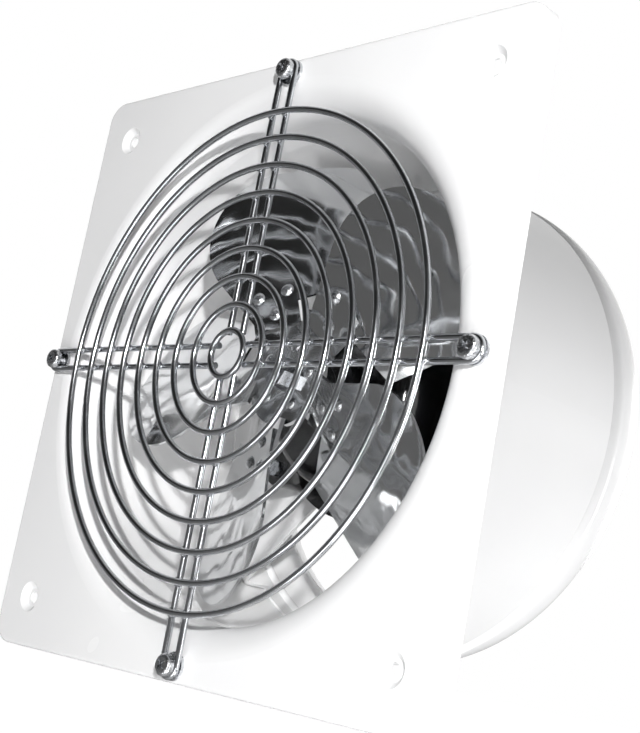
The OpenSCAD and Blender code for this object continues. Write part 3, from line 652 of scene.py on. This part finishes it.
def weld_tree():
    """Welds between the rings and the arms' wires: a squashed nugget at every crossing."""
    tree, given = tree_with_inputs("guard_weld_nuggets", {
        "Outer Radius": "NodeSocketFloat",
        "Ring Pitch": "NodeSocketFloat",
        "Ring Count": "NodeSocketInt",
        "Arm Gap": "NodeSocketFloat",
        "Weld Depth": "NodeSocketFloat",
        "Nugget": "NodeSocketFloat",
        "Seed": "NodeSocketInt",
    })
    step = sum_of(tree, "MULTIPLY", given["Ring Pitch"], -1.0)
    offset = add_node(tree, "ShaderNodeCombineXYZ", {"X": step}).outputs[0]
    start = add_node(tree, "ShaderNodeCombineXYZ", {"X": given["Outer Radius"]}).outputs[0]
    sockets = {"Count": given["Ring Count"], "Start Location": start, "Offset": offset}
    radii = add_node(tree, "GeometryNodeMeshLine", sockets, mode="OFFSET").outputs[0]
    half = sum_of(tree, "MULTIPLY", given["Arm Gap"], 0.5)
    # A ring crosses a wire where its radius and the wire's offset make a right triangle
    here = tree.nodes.new("GeometryNodeInputPosition").outputs[0]
    radius = add_node(tree, "ShaderNodeSeparateXYZ", {"Vector": here}).outputs["X"]
    square = sum_of(tree, "POWER", radius, 2.0)
    run = sum_of(tree, "SQRT", sum_of(tree, "SUBTRACT", square, sum_of(tree, "POWER", half, 2.0)))
    rows = add_node(tree, "GeometryNodeJoinGeometry")
    for side in (-1.0, 1.0):
        height = sum_of(tree, "MULTIPLY", half, side)
        sockets = {"X": run, "Y": given["Weld Depth"], "Z": height}
        spot = add_node(tree, "ShaderNodeCombineXYZ", sockets).outputs[0]
        row = add_node(tree, "GeometryNodeSetPosition", {"Geometry": radii, "Position": spot})
        tree.links.new(row.outputs[0], rows.inputs[0])
    sockets = {"Count": len(ARM_SIDES), "Offset": (0, 0, 0)}
    turns = add_node(tree, "GeometryNodeMeshLine", sockets, mode="OFFSET")
    index = tree.nodes.new("GeometryNodeInputIndex").outputs[0]
    angle = sum_of(tree, "MULTIPLY", index, QUARTER_TURN)
    turn = add_node(tree, "ShaderNodeCombineXYZ", {"Y": angle}).outputs[0]
    sockets = {"Points": turns.outputs[0], "Instance": rows.outputs[0], "Rotation": turn}
    arms = add_node(tree, "GeometryNodeInstanceOnPoints", sockets)
    spots = add_node(tree, "GeometryNodeRealizeInstances", {"Geometry": arms.outputs[0]})
    sockets = {"Radius": given["Nugget"], "Subdivisions": NUGGET_FACETING}
    ball = add_node(tree, "GeometryNodeMeshIcoSphere", sockets)
    smooth = add_node(tree, "GeometryNodeSetShadeSmooth", {"Geometry": ball.outputs[0]})
    sockets = {"Min": NUGGET_LEAST, "Max": NUGGET_MOST, "Seed": given["Seed"]}
    size = add_node(tree, "FunctionNodeRandomValue", sockets, data_type="FLOAT_VECTOR")
    sockets = {"Points": spots.outputs[0], "Instance": smooth.outputs[0], "Scale": size.outputs[0]}
    nuggets = add_node(tree, "GeometryNodeInstanceOnPoints", sockets)
    close_tree(tree, nuggets.outputs[0], chrome_weld)
    return tree


def make_welds():
    """One mesh of all welds on the guard."""
    ring_names = [name for name in nodes if name.startswith("guard_ring_") and name[-1].isdigit()]
    radii = sorted((middle_radius(name) for name in ring_names), reverse=True)
    arm_low, arm_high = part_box("guard_arm_right")
    wire = arm_high.y - arm_low.y
    values = {
        "Outer Radius": radii[0],
        "Ring Pitch": radii[0] - radii[1],
        "Ring Count": len(radii),
        "Arm Gap": arm_high.z - arm_low.z - wire,
        "Weld Depth": arm_low.y,
        "Nugget": NUGGET_SHARE * wire,
        "Seed": WELD_SEED,
    }
    welds = grow("guard_welds", weld_tree(), values)
    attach(welds, "housing")


# The camera's place in metres, its turns in degrees, its lens in millimetres and its near limit
CAMERA_PLACE = (0.49194, -0.41139, -0.12252)
CAMERA_HEADING = 46.69
CAMERA_RISE = 11.12
CAMERA_ROLL = 10.60
CAMERA_LENS = 66.233
CAMERA_NEAR = 10 * MM


def set_camera():
    """Camera at the photograph's place: front right, a little below the fan's axis, rolled."""
    camera = bpy.data.objects.new("camera", bpy.data.cameras.new("camera"))
    camera.data.lens = CAMERA_LENS
    camera.data.clip_start = CAMERA_NEAR
    heading = Matrix.Rotation(math.radians(CAMERA_HEADING), 4, "Z")
    rise = Matrix.Rotation(math.radians(90 + CAMERA_RISE), 4, "X")
    roll = Matrix.Rotation(math.radians(CAMERA_ROLL), 4, "Z")
    camera.matrix_world = Matrix.Translation(CAMERA_PLACE) @ heading @ rise @ roll
    bpy.context.scene.collection.objects.link(camera)
    bpy.context.scene.camera = camera


# Each lamp's name, place, width and height, power in watts, and roll in degrees
LAMPS = (
    ("key_soft_box", (0.87, -0.70, 0.15), (0.04, 0.04), 14.8, 0.0),
    ("low_panel", (0.35, -0.72, -0.68), (0.25, 1.10), 4.8, -35.4),
    ("ground_panel", (0.75, -0.05, -0.95), (0.7, 0.5), 4.8, 0.0),
    ("side_panel", (1.0, 0.12, -0.25), (0.4, 0.4), 5.6, 0.0),
    ("rear_soft_box", (-1.3, 1.0, 0.5), (0.8, 0.8), 3.0, 0.0),
    ("outlet_lamp", (0.05, 0.75, 0.05), (0.3, 0.3), 3.6, 0.0),
)

# How bright the surroundings are: for matt surfaces, and above and below for mirroring ones
AMBIENT_LEVEL = 0.14
DARK_CEILING = 0.02
DIM_GROUND = 0.32

# Where the mirrored surroundings change, as the height and the depth of the way looked
HORIZON = 0.3
BACKDROP_START = -0.45
BACKDROP_FULL = 0.15


def soft_box(name, place, size, power, roll):
    """A rectangular soft lamp that shines from a place to the fan; the camera doesn't see it."""
    lamp = bpy.data.objects.new(name, bpy.data.lights.new(name, "AREA"))
    lamp.data.shape = "RECTANGLE"
    lamp.data.size, lamp.data.size_y = size
    lamp.data.energy = power
    aim = (-Vector(place)).to_track_quat("-Z", "Y").to_matrix().to_4x4()
    turn = Matrix.Rotation(math.radians(roll), 4, "Z")
    lamp.matrix_world = Matrix.Translation(place) @ aim @ turn
    lamp.visible_camera = False
    bpy.context.scene.collection.objects.link(lamp)


def glow_of(tree, strength):
    """The backdrop's white as a world shader of some strength."""
    sockets = {"Color": linear(BACKDROP), "Strength": strength}
    return add_node(tree, "ShaderNodeBackground", sockets).outputs[0]


def light_scene():
    """White backdrop behind the fan, a dark room in front of it, and the soft lamps."""
    world = bpy.data.worlds.new("studio")
    bpy.context.scene.world = world
    world.use_nodes = True
    tree = world.node_tree
    tree.nodes.clear()
    path = add_node(tree, "ShaderNodeLightPath").outputs
    # 1 for what the camera, a mirror or glass sees, 0 for light that falls on the object
    mirrored = sum_of(tree, "MAXIMUM", path["Is Camera Ray"], path["Is Glossy Ray"])
    seen = sum_of(tree, "MAXIMUM", mirrored, path["Is Transmission Ray"])
    toward = add_node(tree, "ShaderNodeTexCoord").outputs["Generated"]
    parts = add_node(tree, "ShaderNodeSeparateXYZ", {"Vector": toward}).outputs
    # Metal mirrors the white backdrop behind the fan and the unlit room in front of it
    room = spread(tree, parts["Z"], DIM_GROUND, DARK_CEILING, -HORIZON, HORIZON)
    backdrop_share = spread(tree, parts["Y"], 0.0, 1.0, BACKDROP_START, BACKDROP_FULL)
    behind = sum_of(tree, "MAXIMUM", room, backdrop_share)
    level = sum_of(tree, "MAXIMUM", behind, path["Is Camera Ray"])
    sockets = {0: seen, 1: glow_of(tree, AMBIENT_LEVEL), 2: glow_of(tree, level)}
    mix = add_node(tree, "ShaderNodeMixShader", sockets)
    add_node(tree, "ShaderNodeOutputWorld", {"Surface": mix.outputs[0]})
    for lamp in LAMPS:
        soft_box(*lamp)


# The card's depth, and its edges to the left and right, below and above
FLAG_DEPTH = 0.02
FLAG_LEFT = 0.134
FLAG_RIGHT = 0.30
FLAG_LOW = -0.08
FLAG_HIGH = 0.30


def hang_flag():
    """Black card beside the plate: keeps the key lamp off the duct, and the camera doesn't see it."""
    mesh = bpy.data.meshes.new("flag")
    low_edge = [(side, FLAG_DEPTH, FLAG_LOW) for side in (FLAG_LEFT, FLAG_RIGHT)]
    high_edge = [(side, FLAG_DEPTH, FLAG_HIGH) for side in (FLAG_RIGHT, FLAG_LEFT)]
    mesh.from_pydata(low_edge + high_edge, [], [(0, 1, 2, 3)])
    card = bpy.data.objects.new("flag", mesh)
    card.visible_camera = False
    card.visible_glossy = False
    card.visible_diffuse = False
    bpy.context.scene.collection.objects.link(card)
    mesh.materials.append(new_finish("black_card")[0])


# The floor's drop below the fan, how far it reaches, and its glow as the camera sees it
FLOOR_DROP = 1.1
FLOOR_REACH = 40.0
FLOOR_GLOW = 0.92


def make_floor():
    """Pale floor under the fan, white to the eye, that still takes the fan's shadow."""
    mesh = bpy.data.meshes.new("floor")
    height = cad_box[0][2] - FLOOR_DROP
    signs = ((-1, -1), (1, -1), (1, 1), (-1, 1))
    corners = [(x * FLOOR_REACH, y * FLOOR_REACH, height) for x, y in signs]
    mesh.from_pydata(corners, [], [(0, 1, 2, 3)])
    floor = bpy.data.objects.new("floor", mesh)
    bpy.context.scene.collection.objects.link(floor)
    material = bpy.data.materials.new("pale_studio_floor")
    material.use_nodes = True
    tree = material.node_tree
    tree.nodes.clear()
    camera_ray = add_node(tree, "ShaderNodeLightPath").outputs["Is Camera Ray"]
    matt = add_node(tree, "ShaderNodeBsdfDiffuse", {"Color": linear(FLOOR_WHITE)})
    glow = add_node(tree, "ShaderNodeEmission", {"Color": linear(BACKDROP), "Strength": FLOOR_GLOW})
    lit = add_node(tree, "ShaderNodeAddShader", {0: matt.outputs[0], 1: glow.outputs[0]})
    sockets = {0: camera_ray, 1: matt.outputs[0], 2: lit.outputs[0]}
    mix = add_node(tree, "ShaderNodeMixShader", sockets)
    add_node(tree, "ShaderNodeOutputMaterial", {"Surface": mix.outputs[0]})
    mesh.materials.append(material)


dress_solids()
make_wires()
make_rim()
make_welds()
set_camera()
light_scene()
hang_flag()
make_floor()
bpy.context.scene.view_settings.view_transform = "Standard"
